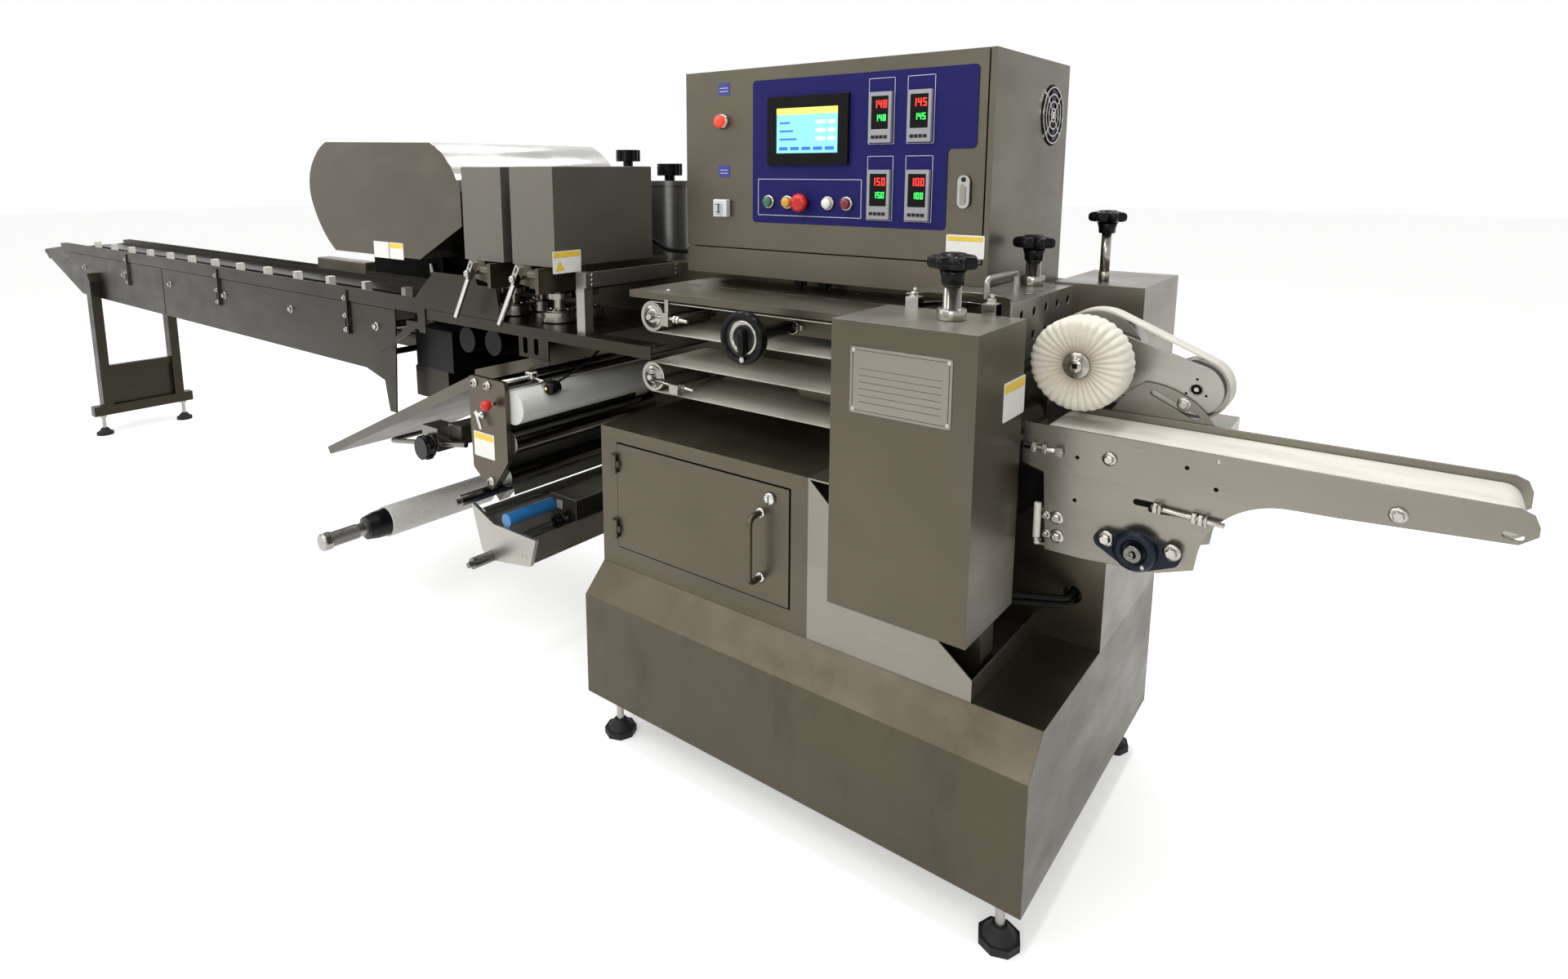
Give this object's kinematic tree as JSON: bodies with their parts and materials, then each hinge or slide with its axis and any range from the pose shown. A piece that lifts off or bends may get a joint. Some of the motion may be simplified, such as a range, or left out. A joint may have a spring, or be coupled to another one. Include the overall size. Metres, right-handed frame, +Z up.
{
  "type": "pillow packing machine",
  "caption": "Horizontal flow wrapper: pusher infeed, film unwind, fin sealer with levers, end sealer, control cabinet and outfeed belt.",
  "frame": {"origin": "on the floor under the middle of the whole machine", "axes": "+X along the product flow from infeed to outfeed, +Y away from the operator, +Z up"},
  "size_m": [5.915, 0.864, 1.491],
  "materials": {
    "bearing_blue": "gloss",
    "belt_white": "matte",
    "black_plastic": "gloss",
    "black_rubber": "matte",
    "chrome": "polished",
    "coloured_buttons": "gloss",
    "grey_plastic": "matte",
    "machined_steel": "machined",
    "motor_black": "satin",
    "panel_blue": "satin",
    "steel": "brushed",
    "white_plastic": "matte"
  },
  "bodies": {
    "machine": {"adjusting_knobs": "black_plastic", "base_plinth": "steel", "belt_cover_plate": "steel", "belt_frames": "steel", "belt_rollers": "machined_steel", "body_cabinet": "steel", "carrier_belts": "belt_white", "chain_sprockets": "machined_steel", "drive_motors": "motor_black", "drum_hood": "steel", "electrical_cabinet": "steel", "end_jaws": "machined_steel", "fan_guard": "machined_steel", "film_bow": "chrome", "film_plate": "steel", "film_rollers": "chrome", "film_tray": "steel", "fin_carriers": "machined_steel", "fin_guards": "steel", "fin_wheels": "machined_steel", "forming_plate": "steel", "front_housing": "steel", "infeed_bed": "steel", "infeed_rails": "steel", "infeed_sides": "steel", "infeed_stand": "steel", "jaw_clamp": "machined_steel", "jaw_guard": "steel", "levelling_feet": "black_rubber", "machine_cables": "black_rubber", "nip_roller": "white_plastic", "outfeed_bearing": "bearing_blue", "outfeed_belt": "belt_white", "outfeed_rollers": "machined_steel", "outfeed_sides": "steel", "press_arm": "steel", "press_belt": "belt_white", "press_bracket": "steel", "pusher_chain": "white_plastic", "rear_body": "steel", "rear_cover": "steel", "scrap_chute": "steel", "sealer_bridge": "steel", "sealer_tray": "steel", "tension_cylinder": "bearing_blue", "work_table": "steel"},
    "lower_door": {"body_door": "steel"},
    "upper_door": {"cabinet_door": "steel", "control_panel": "panel_blue", "touch_screen": "black_plastic", "temperature_controllers": "grey_plastic", "push_buttons": "coloured_buttons"},
    "hand_wheel": {"handwheel": "black_plastic"},
    "brush": {"brush_wheel": "white_plastic"},
    "unwind_shaft": {"film_shaft": "chrome"},
    "lever_left": {"fin_lever_left": "chrome"},
    "lever_right": {"fin_lever_right": "chrome"},
    "knob_front": {"jaw_knob_front": "black_plastic"},
    "knob_rear": {"jaw_knob_rear": "black_plastic"},
    "knob_height": {"height_knob": "black_plastic"}
  },
  "joints": [
    {"name": "lower_door_hinge", "type": "hinge", "parent": "machine", "child": "lower_door", "pos_m": [1.4675, -0.261, 0.566], "axis": [0, 0, -1], "range_deg": [0, 110]},
    {"name": "upper_door_hinge", "type": "hinge", "parent": "machine", "child": "upper_door", "pos_m": [1.4335, 0.041, 1.294], "axis": [0, 0, -1], "range_deg": [0, 85]},
    {"name": "handwheel_spin", "type": "hinge", "parent": "machine", "child": "hand_wheel", "pos_m": [1.8045, -0.212, 0.955], "axis": [0, 1, 0], "continuous": true},
    {"name": "brush_spin", "type": "hinge", "parent": "machine", "child": "brush", "pos_m": [2.3805, -0.057, 0.955], "axis": [0, 1, 0], "continuous": true},
    {"name": "unwind_spin", "type": "hinge", "parent": "machine", "child": "unwind_shaft", "pos_m": [0.4495, -0.112, 0.235], "axis": [0, 1, 0], "continuous": true},
    {"name": "lever_left_swing", "type": "hinge", "parent": "machine", "child": "lever_left", "pos_m": [0.9265, -0.228, 1.016], "axis": [0, 1, 0], "range_deg": [-25, 25]},
    {"name": "lever_right_swing", "type": "hinge", "parent": "machine", "child": "lever_right", "pos_m": [1.1085, -0.228, 1.016], "axis": [0, 1, 0], "range_deg": [-25, 25]},
    {"name": "knob_front_turn", "type": "hinge", "parent": "machine", "child": "knob_front", "pos_m": [2.2205, -0.222, 1.09], "axis": [0, 0, 1], "continuous": true},
    {"name": "knob_rear_turn", "type": "hinge", "parent": "machine", "child": "knob_rear", "pos_m": [2.2245, 0.128, 1.11], "axis": [0, 0, 1], "continuous": true},
    {"name": "knob_height_turn", "type": "hinge", "parent": "machine", "child": "knob_height", "pos_m": [2.3215, 0.248, 1.15], "axis": [0, 0, 1], "continuous": true}
  ]
}
